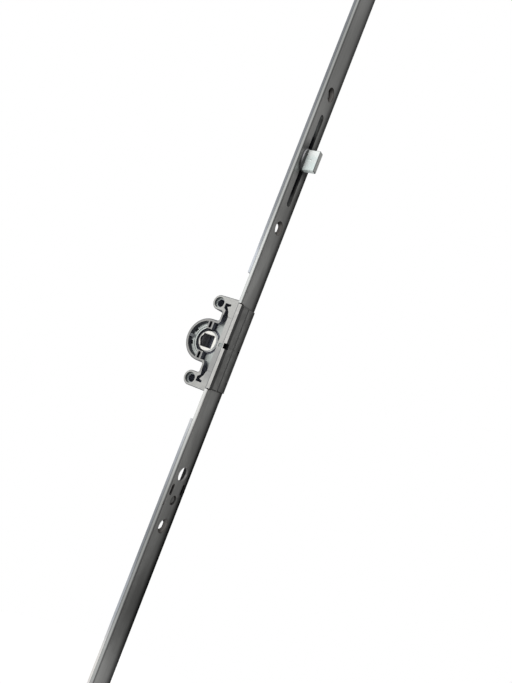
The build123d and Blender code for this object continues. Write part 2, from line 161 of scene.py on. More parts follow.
def ramp(tree, value, start, end, at_start=0.0, at_end=1.0):
    """A smooth step of a value from its start to its end."""
    node = add_node(tree, "ShaderNodeMapRange", interpolation_type="SMOOTHSTEP")
    for name, number in (("Value", value), ("From Min", start), ("From Max", end),
                         ("To Min", at_start), ("To Max", at_end)):
        feed(tree, node.inputs[name], number)
    return node.outputs["Result"]


def band(tree, value, middle, half_width):
    """1 within a narrow band of a value, 0 outside it."""
    return ramp(tree, away_from(tree, value, middle), half_width, band_core * half_width)


def blend(tree, factor, first, second):
    """Mix two colours, given as sockets or as three numbers."""
    node = add_node(tree, "ShaderNodeMix", data_type="RGBA")
    feed(tree, node.inputs["Factor"], factor)
    feed(tree, node.inputs[first_colour_input], first)
    feed(tree, node.inputs[second_colour_input], second)
    return node.outputs[mixed_colour_output]


print("a band is full over", band_core, "of its width")

# %% [markdown]
# ## Light
# In the photograph the casing's side and the sheared edges shine, and the rail's
# front stays dark. A photographer gets that with a white studio on the casing's
# side and a dark card in front of the rail. A black plane would do it too, but it
# would show in other views. So the world itself goes from white to dark by
# direction: the camera sees plain white, and a reflection sees the studio with
# its card.

# %% The world
bright_side = Vector((-0.50, -0.85, 0.15)).normalized()
card_fade = (-0.97, -0.05)
card_brightness = 0.10
studio_white = (1, 1, 1)


def build_world():
    """A white studio with a dark card, and plain white for the camera."""
    world = bpy.data.worlds.new("studio")
    bpy.context.scene.world = world
    world.use_nodes = True
    tree = world.node_tree
    tree.nodes.clear()
    coords = add_node(tree, "ShaderNodeTexCoord")
    facing = add_node(tree, "ShaderNodeVectorMath", operation="DOT_PRODUCT")
    feed(tree, facing.inputs[0], coords.outputs["Generated"])
    facing.inputs[1].default_value = bright_side
    free = ramp(tree, facing.outputs["Value"], *card_fade)
    studio = add_node(tree, "ShaderNodeBackground")
    feed(tree, studio.inputs["Color"], studio_white)
    strength = maths(tree, "MULTIPLY_ADD", free, 1 - card_brightness, card_brightness)
    feed(tree, studio.inputs["Strength"], strength)
    plain = add_node(tree, "ShaderNodeBackground")
    feed(tree, plain.inputs["Color"], studio_white)
    path = add_node(tree, "ShaderNodeLightPath")
    seen = larger(tree, path.outputs["Is Camera Ray"], path.outputs["Is Transmission Ray"])
    mirrored = times(tree, path.outputs["Is Glossy Ray"], free)
    mix = add_node(tree, "ShaderNodeMixShader")
    feed(tree, mix.inputs[0], larger(tree, seen, mirrored))
    feed(tree, mix.inputs[1], studio.outputs[0])
    feed(tree, mix.inputs[2], plain.outputs[0])
    out = add_node(tree, "ShaderNodeOutputWorld")
    feed(tree, out.inputs[0], mix.outputs[0])


build_world()
print("the studio's white side lies towards", [round(v, 2) for v in bright_side])

# %% [markdown]
# ## Key lamp
# One soft lamp on the casing's side gives the ribs and the spindle's square their
# soft shadows. A sun would give hard ones, and a point lamp small hot spots, so
# this is a square area lamp. It is weak, because the studio already lights the
# object at a plain level.

# %% The lamp
lamp_distance = 0.9
lamp_size = 0.3
lamp_power = 0.9
lamp_direction = Vector((-0.30, -0.93, 0.20)).normalized()

lamp_data = bpy.data.lights.new("key_lamp", "AREA")
lamp_data.shape = "SQUARE"
lamp_data.size = lamp_size
lamp_data.energy = lamp_power
lamp = bpy.data.objects.new("key_lamp", lamp_data)
lamp.location = lamp_direction * lamp_distance
lamp.rotation_euler = lamp_direction.to_track_quat("Z", "Y").to_euler()
bpy.context.scene.collection.objects.link(lamp)
print("lamp stands at", [round(v, 2) for v in lamp.location])

# %% [markdown]
# ## Floor
# The object stands on its lower end over a plain pale ground. A wide plane would
# show its horizon behind the rail and throw light back at it. A small disc is
# enough for the shadow, and its glow is for the camera only, so that it melts into
# the white behind it.

# %% The floor
floor_gap = 0.5 * MM
floor_radius = 150 * MM
floor_corners = 96
floor_colour = (0.80, 0.80, 0.80)
floor_roughness = 0.9
floor_glow = 0.35


def floor_white():
    """A matt pale finish that glows a little, for the camera only."""
    material = bpy.data.materials.new("floor_white")
    material.use_nodes = True
    tree = material.node_tree
    shader = tree.nodes["Principled BSDF"]
    feed(tree, shader.inputs["Base Color"], floor_colour)
    feed(tree, shader.inputs["Roughness"], floor_roughness)
    path = add_node(tree, "ShaderNodeLightPath")
    glow = add_node(tree, "ShaderNodeEmission")
    feed(tree, glow.inputs["Strength"], times(tree, path.outputs["Is Camera Ray"], floor_glow))
    both = add_node(tree, "ShaderNodeAddShader")
    feed(tree, both.inputs[0], shader.outputs[0])
    feed(tree, both.inputs[1], glow.outputs[0])
    feed(tree, tree.nodes["Material Output"].inputs[0], both.outputs[0])
    return material


bpy.ops.object.select_all(action="DESELECT")
bpy.ops.mesh.primitive_circle_add(vertices=floor_corners, radius=floor_radius, fill_type="NGON",
                                  location=(0, 0, cad_low[2] - floor_gap))
floor = bpy.context.object
floor.name = "floor"
floor.data.materials.append(floor_white())
print("floor at", round(floor.location.z / MM, 1), "mm")

# %% [markdown]
# ## Finishes
# Everything here is metal, and each metal shows how it was made: rolled strip has
# long streaks and sheared edges, cast zinc has a fine orange peel, and fresh plating
# is nearly white. Many finishes also carry painted light and shade: painted
# highlights on edges, and painted shade on fronts, in pockets and in holes. Pictures
# of metal could be wrapped round the pieces, but they need unwrapping and stretch at
# the edges. Instead each finish measures where a point lies and which way the surface
# faces there, in the object's own axes. That decides what the tool or the bath did
# to it, and where light and shade are painted into the colour.

# %% Start a finish
black = (0, 0, 0)


def start_finish(name, metallic, roughness):
    """A new material with its Principled shader."""
    material = bpy.data.materials.new(name)
    material.use_nodes = True
    shader = material.node_tree.nodes["Principled BSDF"]
    shader.inputs["Metallic"].default_value = metallic
    shader.inputs["Roughness"].default_value = roughness
    return material, material.node_tree, shader


def scaled(colour, share):
    """A colour times a share."""
    return tuple(share * c for c in colour)


class Where:
    """Where a point of a piece lies, and how squarely its surface faces each axis."""

    def __init__(self, tree):
        coords = add_node(tree, "ShaderNodeTexCoord")
        place = add_node(tree, "ShaderNodeSeparateXYZ")
        feed(tree, place.inputs[0], coords.outputs["Object"])
        unsigned = add_node(tree, "ShaderNodeVectorMath", operation="ABSOLUTE")
        feed(tree, unsigned.inputs[0], coords.outputs["Normal"])
        facing = add_node(tree, "ShaderNodeSeparateXYZ")
        feed(tree, facing.inputs[0], unsigned.outputs[0])
        self.x, self.y, self.z = place.outputs
        self.from_middle = maths(tree, "ABSOLUTE", self.y)
        self.height = maths(tree, "ABSOLUTE", self.z)
        self.facing_x, self.facing_y, self.facing_z = facing.outputs


print("finishes start from", start_finish.__name__, "and", Where.__name__)

# %% Patterns, pockets and bumps
pattern_roughness = 0.55
pocket_samples = 8


def noise(tree, scale, stretch=(1, 1, 1), detail=4.0):
    """Noise on Object coordinates, stretched along an axis; returns its value."""
    coords = add_node(tree, "ShaderNodeTexCoord")
    place = add_node(tree, "ShaderNodeMapping")
    place.inputs["Scale"].default_value = stretch
    feed(tree, place.inputs["Vector"], coords.outputs["Object"])
    texture = add_node(tree, "ShaderNodeTexNoise")
    texture.inputs["Scale"].default_value = scale
    texture.inputs["Detail"].default_value = detail
    texture.inputs["Roughness"].default_value = pattern_roughness
    feed(tree, texture.inputs["Vector"], place.outputs[0])
    return texture.outputs["Fac"]


def open_places(tree, distance, closed, open_share):
    """1 on open surfaces and 0 deep in narrow pockets, where the finishes paint shade."""
    shade = add_node(tree, "ShaderNodeAmbientOcclusion", samples=pocket_samples)
    shade.inputs["Distance"].default_value = distance
    return ramp(tree, shade.outputs["AO"], closed, open_share)


def bump(tree, shader, height, strength, distance):
    """Feed a height into the shader's normal."""
    node = add_node(tree, "ShaderNodeBump")
    node.inputs["Strength"].default_value = strength
    node.inputs["Distance"].default_value = distance
    feed(tree, node.inputs["Height"], height)
    feed(tree, shader.inputs["Normal"], node.outputs[0])


print("pockets are felt out with", pocket_samples, "samples")

# %% [markdown]
# ## The rail's front
# The faceplate is rolled strip with a softly rounded front. Its colour carries
# painted shade: it is brightest on the casing's side and darkens across its width,
# towards both ends, in a band below the cam and in a ring of painted shadow round the
# cam. That could be painted on by hand. Here it is a product of fades along the
# object's own axes, which can be set one by one and stay put when the view changes.

# %% Painted shade on the front
front_plane = 14.0 * MM
front_only = (front_plane - 0.4 * MM, front_plane - 0.3 * MM)
crown_lean = -0.02
crown_fade = (-9.0 * MM, 22.0 * MM, 1.0, 0.1)
upper_front = (200 * MM, 60 * MM, 0.46, 1.0)
lower_front = (-50 * MM, -150 * MM, 1.0, 0.56)
near_corner = (-7.9 * MM, -6.6 * MM, 0.45, 1.0)
far_corner = (2.2 * MM, 7.3 * MM)
far_corner_glint = (-30 * MM, -60 * MM, 0.20, 0.0)
cam_level = 111.0 * MM
# A ring of painted shadow round the cam's place at rest, and painted shade in a band below it.
cam_shadow_ring = (6.5 * MM, 13.0 * MM, 0.36, 1.0)
plain_inside = (5.2 * MM, 3.6 * MM)
shade_below_cam_level = 93 * MM
shade_below_cam = (10 * MM, 28 * MM, 0.75, 1.0)


def front_shade(tree, at):
    """Painted shade on the rounded front: across, towards both ends, below the cam and round the cam."""
    across = ramp(tree, maths(tree, "MULTIPLY_ADD", at.z, crown_lean, at.y), *crown_fade)
    along = times(tree, ramp(tree, at.z, *upper_front), ramp(tree, at.z, *lower_front))
    glint = ramp(tree, at.z, *far_corner_glint)
    corners = times(tree, ramp(tree, at.y, *far_corner, 1.0, glint), ramp(tree, at.y, *near_corner))
    from_cam = radius_of(tree, at.y, maths(tree, "SUBTRACT", at.z, cam_level))
    cam_shadow = larger(tree, ramp(tree, from_cam, *cam_shadow_ring), ramp(tree, from_cam, *plain_inside))
    below_cam_shade = ramp(tree, away_from(tree, at.z, shade_below_cam_level), *shade_below_cam)
    shade = times(tree, across, along, corners, cam_shadow, below_cam_shade)
    on_front = ramp(tree, at.x, *front_only)
    return maths(tree, "MULTIPLY_ADD", maths(tree, "SUBTRACT", shade, 1.0), on_front, 1.0)


print("the rubbed ring ends", round(cam_shadow_ring[1] / MM, 1), "mm from the cam's middle")

# %% [markdown]
# ## The rail's sheared edges
# Strip is slit from a wide coil, and the cut leaves its long edges bright. Their
# colour carries painted highlights and shade along the rail and across each edge,
# nearly white in two stretches and darker towards the front corner. The faceplate
# and the rod lie back to back and could have a recipe each. One serves both, because
# a step at the faceplate's back tells them apart.

# %% Painted highlights and shade on the edges
plate_back = 12.1 * MM
on_plate = (plate_back - 0.05 * MM, plate_back - 0.02 * MM)
behind_plate = (plate_back, plate_back - 0.05 * MM)
upper_edge = (45 * MM, 90 * MM, 1.0, 0.68)
lower_edge = (-45 * MM, -100 * MM, 1.0, 0.57)
lowest_edge = (-135 * MM, -175 * MM, 1.0, 2.1)
# Across each edge: a painted highlight rising from the back and painted shade towards the front corner.
edge_highlight_rise = (plate_back, plate_back + 0.8 * MM, 0.80, 1.12)
edge_shade_to_front = (front_plane - 0.7 * MM, front_plane - 0.1 * MM, 1.0, 0.25)
rod_shoulders = (46 * MM, 60 * MM, 1.2, 0.72)
rod_middle = (-35 * MM, -70 * MM, 1.0, 1.38)
rod_low = (-110 * MM, -130 * MM, 1.0, 1.65)
# Two stretches of nearly white painted highlight on the edges.
white_low_end = (-143 * MM, -170 * MM, 0.0, 0.9)
white_patch_foot = (-60 * MM, -35 * MM, 0.0, 0.3)
white_patch_top = (0.0, -20 * MM)


def edge_shade(tree, at):
    """Painted shade and highlight on the edges: less shine away from the gearbox, more low down."""
    along = times(tree, ramp(tree, at.z, *upper_edge), ramp(tree, at.z, *lower_edge),
                  ramp(tree, at.z, *lowest_edge))
    plate = times(tree, ramp(tree, at.x, *edge_highlight_rise), ramp(tree, at.x, *edge_shade_to_front))
    rod = times(tree, ramp(tree, at.height, *rod_shoulders), ramp(tree, at.z, *rod_low),
                ramp(tree, at.z, *rod_middle))
    step = ramp(tree, at.x, *on_plate)
    across = maths(tree, "MULTIPLY_ADD", maths(tree, "SUBTRACT", plate, rod), step, rod)
    return times(tree, along, across)


def painted_edge_highlight(tree, at):
    """Where an edge gets a nearly white painted highlight: low down on the rod and just below the gearbox.
    """
    low_end = times(tree, ramp(tree, at.z, *white_low_end), ramp(tree, at.x, *behind_plate))
    patch = times(tree, ramp(tree, at.z, *white_patch_foot), ramp(tree, at.z, *white_patch_top))
    return larger(tree, low_end, patch)


print("the rod's edge starts behind", round(plate_back / MM, 2), "mm")

# %% [markdown]
# ## Holes and the cam's slot
# Each hole is punched: its wall is painted nearly black, partly for the rough
# fracture zone and partly as painted shade deep in the hole, with a thin grey lip
# where the punch went in. The cam's slot is painted greyer, most of all at its two
# ends, as painted light that stands in for the light that gets in. Tiny bevels could
# make the lip, but they would be a tenth of a millimetre wide and would cost many
# faces, so it is a step in the colour.

# %% Colours of the holes
slot_foot = (80 * MM, 83 * MM)
slot_top = (143 * MM, 141 * MM)
slot_grey = (0.050, 0.050, 0.060)
# Painted light at the slot's two ends.
slot_upper_part = (124 * MM, 131 * MM)
slot_upper_light = (0.24, 0.25, 0.25)
slot_lower_part = (94 * MM, 88 * MM)
slot_lower_light = (0.14, 0.145, 0.15)
lip_depth = (plate_back + 0.6 * MM, plate_back + 1.2 * MM)
lip_by_cam = (9.0 * MM, 15.0 * MM, 0.25, 1.0)
lip_sides = (4.6 * MM, 4.2 * MM)


def cam_slot(tree, at):
    """1 along the cam's slot, and its colour, with painted light at both ends."""
    in_slot = times(tree, ramp(tree, at.z, *slot_foot), ramp(tree, at.z, *slot_top))
    colour = blend(tree, ramp(tree, at.z, *slot_upper_part), slot_grey, slot_upper_light)
    return in_slot, blend(tree, ramp(tree, at.z, *slot_lower_part), colour, slot_lower_light)


def punched_lip(tree, at):
    """1 on the thin lip at a hole's mouth, and less beside the cam."""
    beside_cam = ramp(tree, away_from(tree, at.z, cam_level), *lip_by_cam)
    return times(tree, ramp(tree, at.x, *lip_depth), beside_cam, ramp(tree, at.from_middle, *lip_sides))


print("the slot's greys reach from", round(slot_foot[0] / MM), "to", round(slot_top[0] / MM), "mm")

# %% Where the strip gets no painted shade
# Narrow recesses get painted shade, found by Ambient Occlusion within this reach.
recess_reach = 6.0 * MM
recess_light = (0.45, 0.95)
side_slot_level = -78.3 * MM
side_slot_ends = (5.0 * MM, 4.5 * MM)
side_slot_inside = (-3.7 * MM, -3.9 * MM)
rod_surface = (plate_back - 0.02 * MM, plate_back - 0.05 * MM)


def unshaded_rod(tree, at):
    """1 where the rod gets no painted shade, as seen through the short slot on the near side."""
    along = ramp(tree, away_from(tree, at.z, side_slot_level), *side_slot_ends)
    return times(tree, along, ramp(tree, at.y, *side_slot_inside), ramp(tree, at.x, *rod_surface))


def unshaded_strip(tree, at, hole_wall, lip):
    """1 where the strip gets no painted shade, and 0 in narrow recesses, where shade is painted."""
    unshaded = larger(tree, open_places(tree, recess_reach, *recess_light), unshaded_rod(tree, at))
    return larger(tree, unshaded, times(tree, hole_wall, lip))


print("dirt gathers within", round(recess_reach / MM, 1), "mm of a corner")

# %% [markdown]
# ## Rolled strip
# Rolling leaves fine streaks along the strip, and plating leaves broad clouds over
# them. A brushed look often comes from an anisotropic shader, but at this scale
# only the streaks' tone shows. So two noises are added, one stretched along the
# rail, and they vary the colour, the gloss and a faint bump together.

# %% Streaks, clouds and specks
rolling_streaks = dict(scale=900, stretch=(1, 1, 0.02), detail=3)
plating_clouds = dict(scale=70, stretch=(1, 1, 0.35))
dirt_specks = dict(scale=420, stretch=(1, 1, 0.6), detail=2)
streak_share = 0.35
tone_range = (0.35, 0.65)
face_shares = (0.90, 1.10)
edge_shares = (0.90, 1.08)
bore_shares = (0.7, 1.3)
speck_fade = (0.70, 0.76, 0.0, 0.5)
speck_share = 0.15
# The white of the painted highlights on the edges.
highlight_white = (0.90, 0.88, 0.85)


def streaky(tree, tone, colour, shares):
    """A colour that wanders between a darker and a lighter share of itself."""
    return blend(tree, ramp(tree, tone, *tone_range), scaled(colour, shares[0]), scaled(colour, shares[1]))


def strip_face(tree, at, tone, colour):
    """The strip's wide faces: streaky, with painted shade on the front and small dark specks."""
    face = blend(tree, front_shade(tree, at), black, streaky(tree, tone, colour, face_shares))
    specks = ramp(tree, noise(tree, **dirt_specks), *speck_fade)
    return blend(tree, specks, face, scaled(colour, speck_share))


def strip_edge(tree, at, tone, colour):
    """The strip's long edges, with painted highlights and shade."""
    edge = blend(tree, edge_shade(tree, at), black, streaky(tree, tone, colour, edge_shares))
    return blend(tree, painted_edge_highlight(tree, at), edge, highlight_white)


print("streaks carry", streak_share, "of the strip's tone")

# %% The strip's finish
strip_metal = 0.85
gloss_clouds = (0.3, 0.7)
gloss_down = 0.07
gloss_up = 0.08
streak_bump = 0.25
streak_height = 0.02 * MM
hole_wall_turn = (0.4, 0.2)
side_turn = (0.92, 0.66)
long_edge = (7.5 * MM, 7.75 * MM)
# The near black of the hole walls: partly their rough fracture zone, partly painted shade.
deep_black = (0.005, 0.005, 0.006)
lip_grey = (0.19, 0.185, 0.18)
recess_shade_share = 0.6


def rolled_strip(name, face, edge, bore, roughness):
    """Strip: streaky faces, sheared edges and punched holes, with painted light and shade."""
    material, tree, shader = start_finish(name, strip_metal, roughness)
    at = Where(tree)
    streaks = noise(tree, **rolling_streaks)
    clouds = noise(tree, **plating_clouds)
    tone = maths(tree, "MULTIPLY_ADD", streaks, streak_share, times(tree, clouds, 1 - streak_share))
    in_slot, slot_colour = cam_slot(tree, at)
    lip = punched_lip(tree, at)
    hole_wall = ramp(tree, at.facing_x, *hole_wall_turn)
    wall_colour = blend(tree, lip, blend(tree, in_slot, deep_black, slot_colour), lip_grey)
    hole = blend(tree, hole_wall, streaky(tree, tone, bore, bore_shares), wall_colour)
    at_edge = ramp(tree, at.from_middle, *long_edge)
    side = blend(tree, at_edge, hole, strip_edge(tree, at, tone, edge))
    colour = blend(tree, ramp(tree, at.facing_x, *side_turn), strip_face(tree, at, tone, face), side)
    # Painted shade in recesses, in the slot's colours inside the cam's slot.
    recess_shade = blend(tree, in_slot, scaled(bore, recess_shade_share), slot_colour)
    unshaded = unshaded_strip(tree, at, hole_wall, lip)
    feed(tree, shader.inputs["Base Color"], blend(tree, unshaded, recess_shade, colour))
    gloss = ramp(tree, clouds, *gloss_clouds, roughness - gloss_down, roughness + gloss_up)
    feed(tree, shader.inputs["Roughness"], gloss)
    bump(tree, shader, streaks, streak_bump, streak_height)
    return material


faceplate_finish = rolled_strip("faceplate_steel", face=(0.71, 0.71, 0.69), edge=(0.47, 0.48, 0.47),
                                bore=(0.060, 0.052, 0.048), roughness=0.36)
rod_finish = rolled_strip("rod_steel", face=(0.62, 0.62, 0.61), edge=(0.41, 0.43, 0.46),
                          bore=(0.060, 0.056, 0.054), roughness=0.36)
print("made", faceplate_finish.name, "and", rod_finish.name)

# %% [markdown]
# ## The casting's floor and rim
# The casing halves are die-cast zinc. A rim stands round a sunken floor, and on the
# side away from the rail the floor turns into a smooth collar. The collar is painted
# lighter to make up for the rim's shadow, and its lower part gets painted shade. A
# material for each face would leave hard borders between them. One material that
# tells the levels apart by their depth keeps the soft borders of a casting.

# %% The floor and the rim
rim_level = 6.0 * MM
collar_side = (1.0 * MM, -1.0 * MM)
# The collar's lighter share is painted light that makes up for the rim's shadow.
collar_share = 1.35
floor_share = 0.85
# Painted shade on the lower part of the collar.
collar_lower_shade = (0.0, -6.0 * MM, 0.0, 0.22)
thin_rim_side = (5.4 * MM, 4.9 * MM)
thin_rim_ends = (18.0 * MM, 17.0 * MM)
thin_rim_share = 0.74
# Painted shade beside the two narrow slots.
narrow_slot_across = (-0.22 * MM, 1.3 * MM)
narrow_slot_along = (8.6 * MM, 2.2 * MM)
narrow_slot_shade = 0.95


def casting_floor(tree, at, floor):
    """The floor's colour, with painted light on the collar and painted shade on its lower part."""
    collar = ramp(tree, at.x, *collar_side)
    ground = blend(tree, collar, scaled(floor, floor_share), scaled(floor, collar_share))
    return blend(tree, times(tree, collar, ramp(tree, at.z, *collar_lower_shade)), ground, black)


def casting_rim(tree, at, rim, shade_grey):
    """The rim's colour, darker where it is thin, with painted shade beside the two narrow slots."""
    thin = times(tree, ramp(tree, at.x, *thin_rim_side), ramp(tree, at.height, *thin_rim_ends))
    top = blend(tree, thin, rim, scaled(rim, thin_rim_share))
    slots = times(tree, band(tree, at.x, *narrow_slot_across), band(tree, at.height, *narrow_slot_along))
    return blend(tree, times(tree, slots, narrow_slot_shade), top, shade_grey)


print("the rim stands", round(rim_level / MM, 1), "mm from the middle plane")

# %% [markdown]
# ## Marks on the casting
# The slanted edges get painted shade, the rim has a round spot like the one that
# an ejector pin leaves, and a strip beside the lower part of the rail gets painted shade.
# Such marks are often painted as masks by hand. A mask worked out from the place
# needs no painting and has a clean border at any size.

# %% Slanted edges, spot and shaded strip
cover_line = 11.4 * MM
before_cover = (cover_line + 0.5 * MM, cover_line)
slanted_turn = (0.97, 0.85)
# Painted shade on the slanted edges.
slanted_shade = 0.78
spot_middle = 10.1 * MM
spot_fade = (1.3 * MM, 1.1 * MM, 0.0, 0.5)
spot_colour = (0.22, 0.27, 0.26)
# Painted shade on the lower part of the strip beside the rail.
shaded_strip_side = (7.0 * MM, 8.5 * MM)
shaded_strip_start = (1.0 * MM, -4.0 * MM)
shaded_strip_end = (22.0 * MM, 17.0 * MM)
shaded_strip_dark = 0.28


def casting_marks(tree, at, face, shade_grey):
    """Paint shade on the slanted edges, then add the round spot and the painted shade of the strip beside
    the rail.
    """
    slanted = times(tree, ramp(tree, at.facing_y, *slanted_turn), ramp(tree, at.x, *before_cover))
    face = blend(tree, times(tree, slanted, slanted_shade), face, shade_grey)
    from_spot = radius_of(tree, maths(tree, "SUBTRACT", at.x, spot_middle), at.z)
    face = blend(tree, ramp(tree, from_spot, *spot_fade), face, spot_colour)
    strip = times(tree, ramp(tree, at.z, *shaded_strip_start), ramp(tree, at.x, *shaded_strip_side),
                  ramp(tree, at.height, *shaded_strip_end))
    return blend(tree, times(tree, strip, shaded_strip_dark), face, shade_grey)


print("the spot lies", round(spot_middle / MM, 1), "mm beside the spindle")

# %% [markdown]
# ## The cover over the faceplate
# The casting goes on round the rail's edge and hooks over the faceplate's front as
# a flat cover. The two halves meet there in a fine seam, and the cover is bevelled
# and notched. The solids have these forms, and the finish gives each its tone: a
# grey side, and painted shade on the rest: a dark foot with a fine shadow line, a
# front that darkens across its width, a dark bevel and a black notch.

# %% The cover's side
# Painted shadow on the cover's foot and in the fine line where it starts.
foot_start = (cover_line - 0.1 * MM, cover_line)
foot_end = (12.7 * MM, 12.5 * MM)
foot_dark = 0.62
side_start = (12.5 * MM, 12.7 * MM)
side_grey = (0.43, 0.425, 0.41)
first_line = (cover_line, 0.35 * MM)
first_line_dark = 0.45


def cover_side(tree, at, face, shade_grey):
    """The cover's side, with painted shadow on its foot and in the fine line where it starts."""
    foot = times(tree, ramp(tree, at.x, *foot_start), ramp(tree, at.x, *foot_end), foot_dark)
    face = blend(tree, foot, face, shade_grey)
    face = blend(tree, ramp(tree, at.x, *side_start), face, side_grey)
    return blend(tree, times(tree, band(tree, at.x, *first_line), first_line_dark), face, shade_grey)


print("the cover starts", round(cover_line / MM, 1), "mm beside the spindle")

# %% The cover's front
front_start = (14.55 * MM, 14.62 * MM)
cover_grey = (0.34, 0.34, 0.33)
# Painted shade across the cover's front, beside and on its bevel, and in its notch.
cover_shade_across = (1.0 * MM, 7.5 * MM, 1.0, 0.18)
beside_bevel = (-6.2 * MM, -4.9 * MM, 0.35, 1.0)
bevel_turn = (0.995, 0.985)
bevel_shade_grey = (0.085, 0.085, 0.085)
seam_sides = (0.6 * MM, 0.4 * MM)
seam_dark = 0.85
seam_grey = (0.02, 0.02, 0.02)
notch_half = (1.50 * MM, 1.45 * MM)
notch_floor = (13.1 * MM, 13.15 * MM)
notch_reach = (5.5 * MM, 5.55 * MM)
notch_shade_black = (0.004, 0.004, 0.005)


def cover_front(tree, at, face):
    """The cover's front, with painted shade across it and on its bevel, its seam, and painted shade in the
    notch in its side.
    """
    on_front = ramp(tree, at.x, *front_start)
    front = blend(tree, ramp(tree, at.y, *cover_shade_across), black, cover_grey)
    front = blend(tree, ramp(tree, at.y, *beside_bevel), black, front)
    seam = times(tree, ramp(tree, at.from_middle, *seam_sides), seam_dark)
    front = blend(tree, seam, front, seam_grey)
    bevel = times(tree, ramp(tree, at.facing_x, *bevel_turn), on_front)
    face = blend(tree, on_front, face, blend(tree, bevel, front, bevel_shade_grey))
    notch = times(tree, ramp(tree, at.height, *notch_half), ramp(tree, at.x, *notch_floor),
                  ramp(tree, at.from_middle, *notch_reach))
    return blend(tree, notch, face, notch_shade_black)


print("the seam is", round(2 * seam_sides[0] / MM, 1), "mm wide")

# %% [markdown]
# ## Round the spindle
# The spindle's square sits in a turned hub, and the casting leaves a narrow gap
# round the hub and a steep inner wall round the collar. Both are nearly black in
# the photograph. The shadows alone could be left to darken them, but a wide studio
# lights them too well, so the finish does it by how far they lie from the axis.

# %% The ring, the gap and the square
ring_radius = (11.1 * MM, 11.6 * MM)
ring_side = (4.0 * MM, 2.0 * MM)
ring_ends = (13.0 * MM, 12.0 * MM)
ring_dark = 0.5
gap_radius = (7.5 * MM, 7.4 * MM)
gap_depth = (rim_level, rim_level - 0.1 * MM)
gap_share = 0.5
square_radius = (5.3 * MM, 5.0 * MM)
square_share = 4.0


def round_spindle(tree, at, face, shade_grey):
    """Darken the ring's inner wall, the gap round the hub and the square."""
    radius = radius_of(tree, at.z, at.x)
    ring = times(tree, ramp(tree, radius, *ring_radius), ramp(tree, at.x, *ring_side),
                 ramp(tree, at.height, *ring_ends))
    face = blend(tree, times(tree, ring, ring_dark), face, shade_grey)
    gap = times(tree, ramp(tree, radius, *gap_radius), ramp(tree, at.from_middle, *gap_depth))
    in_square = ramp(tree, radius, *square_radius)
    deep = blend(tree, in_square, scaled(shade_grey, gap_share), scaled(shade_grey, square_share))
    return blend(tree, gap, face, deep)


print("the gap round the hub ends at", round(gap_radius[0] / MM, 1), "mm")

# %% [markdown]
# ## Walls, pockets and screw bores
# Steep walls, the deepest pockets and the two screw bores get painted shade. Ambient
# Occlusion finds narrow places by itself, but it can't tell a wall from a floor, so
# it is used for the walls only, and the floors go by their depth.

# %% What gets no painted shade
# Everything that isn't left free here gets painted shade.
wall_turn = (0.50, 0.30)
wall_reach = 5.0 * MM
wall_light = (0.90, 1.0)
pocket_depth = (2.5 * MM, 2.7 * MM)
boss_level = 21.5 * MM
bore_radius = (2.2 * MM, 2.3 * MM)
counterbore_radius = (3.2 * MM, 3.1 * MM)
counterbore_depth = (4.2 * MM, 4.3 * MM)
counterbore_light = 0.55
shadow_fade = (-2.0 * MM, 4.0 * MM)
shadow_shares = (0.65, 2.0)
bore_share = 2.5


def casting_shadows(tree, at, shade_grey):
    """How free of painted shade each place is, and the painted shade for the rest."""
    behind_cover = ramp(tree, at.x, *before_cover)
    wall = times(tree, ramp(tree, at.facing_y, *wall_turn), behind_cover)
    from_bore = radius_of(tree, maths(tree, "SUBTRACT", at.height, boss_level), at.x)
    outside_bore = ramp(tree, from_bore, *bore_radius)
    counterbore = times(tree, ramp(tree, from_bore, *counterbore_radius),
                        ramp(tree, at.from_middle, *counterbore_depth))
    unshaded_wall = times(tree, open_places(tree, wall_reach, *wall_light), wall)
    unshaded_wall = larger(tree, unshaded_wall, times(tree, counterbore, wall, counterbore_light))
    unshaded_floor = times(tree, ramp(tree, at.from_middle, *pocket_depth), maths(tree, "SUBTRACT", 1.0, wall))
    unshaded = times(tree, maths(tree, "ADD", unshaded_wall, unshaded_floor), outside_bore)
    unshaded = larger(tree, unshaded, maths(tree, "SUBTRACT", 1.0, behind_cover))
    near_rail = ramp(tree, at.x, *shadow_fade)
    shadow = blend(tree, near_rail, scaled(shade_grey, shadow_shares[0]), scaled(shade_grey, shadow_shares[1]))
    return unshaded, blend(tree, outside_bore, scaled(shade_grey, bore_share), shadow)


print("screw bores", round(2 * boss_level / MM, 1), "mm apart")

# %% [markdown]
# ## Cast zinc
# A die leaves the zinc satin and mottled, with a fine orange peel. The whole finish
# puts the parts above on each other, from the ground up: floor and rim, mottle,
# marks, cover, the spindle's surround, and the painted shadows last, so that they lie
# on top of everything.

# %% The casting's finish
zinc_metal = 0.8
zinc_roughness = 0.42
zinc_mottle = dict(scale=260, detail=5)
mottle_fade = (0.32, 0.68, 0.83, 1.10)
mottle_gloss = (0.3, 0.7, 0.38, 0.55)
orange_peel = dict(scale=2600, detail=2)
peel_bump = 0.30
peel_height = 0.03 * MM
rim_border = (rim_level - 0.5 * MM, rim_level)


